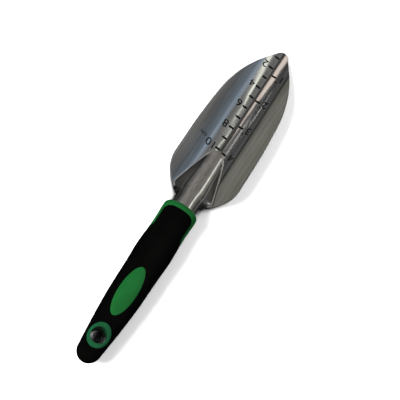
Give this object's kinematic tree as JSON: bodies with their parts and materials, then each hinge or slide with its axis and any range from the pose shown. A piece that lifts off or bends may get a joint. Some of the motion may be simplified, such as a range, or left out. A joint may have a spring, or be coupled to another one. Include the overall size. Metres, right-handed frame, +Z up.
{
  "type": "hand trowel",
  "caption": "Slim hand trowel: polished pointed trough blade with a depth scale, a neck and tang, and a soft-skinned handle with a collar, a thumb inlay and a hanging hole.",
  "frame": {"origin": "under the middle of the trowel's length and width, on the plane that it rests on", "axes": "+Y from the butt of the handle to the tip of the blade, +Z up with the blade's hollow facing up, +X to the right seen from the butt"},
  "size_m": [0.0536, 0.2779, 0.022],
  "materials": {
    "polished_steel": "mirror polished, with faint lengthwise polishing lines",
    "core_plastic": "moulded, fine satin texture",
    "grip_rubber": "moulded soft-touch, fine matte texture",
    "inlay_plastic": "moulded, fine satin texture",
    "bush_plastic": "moulded, semi-gloss"
  },
  "bodies": {
    "root": {"blade": "polished_steel", "handle_core": "core_plastic", "soft_grip": "grip_rubber", "thumb_inlay": "inlay_plastic", "hang_bush": "bush_plastic"}
  },
  "joints": []
}
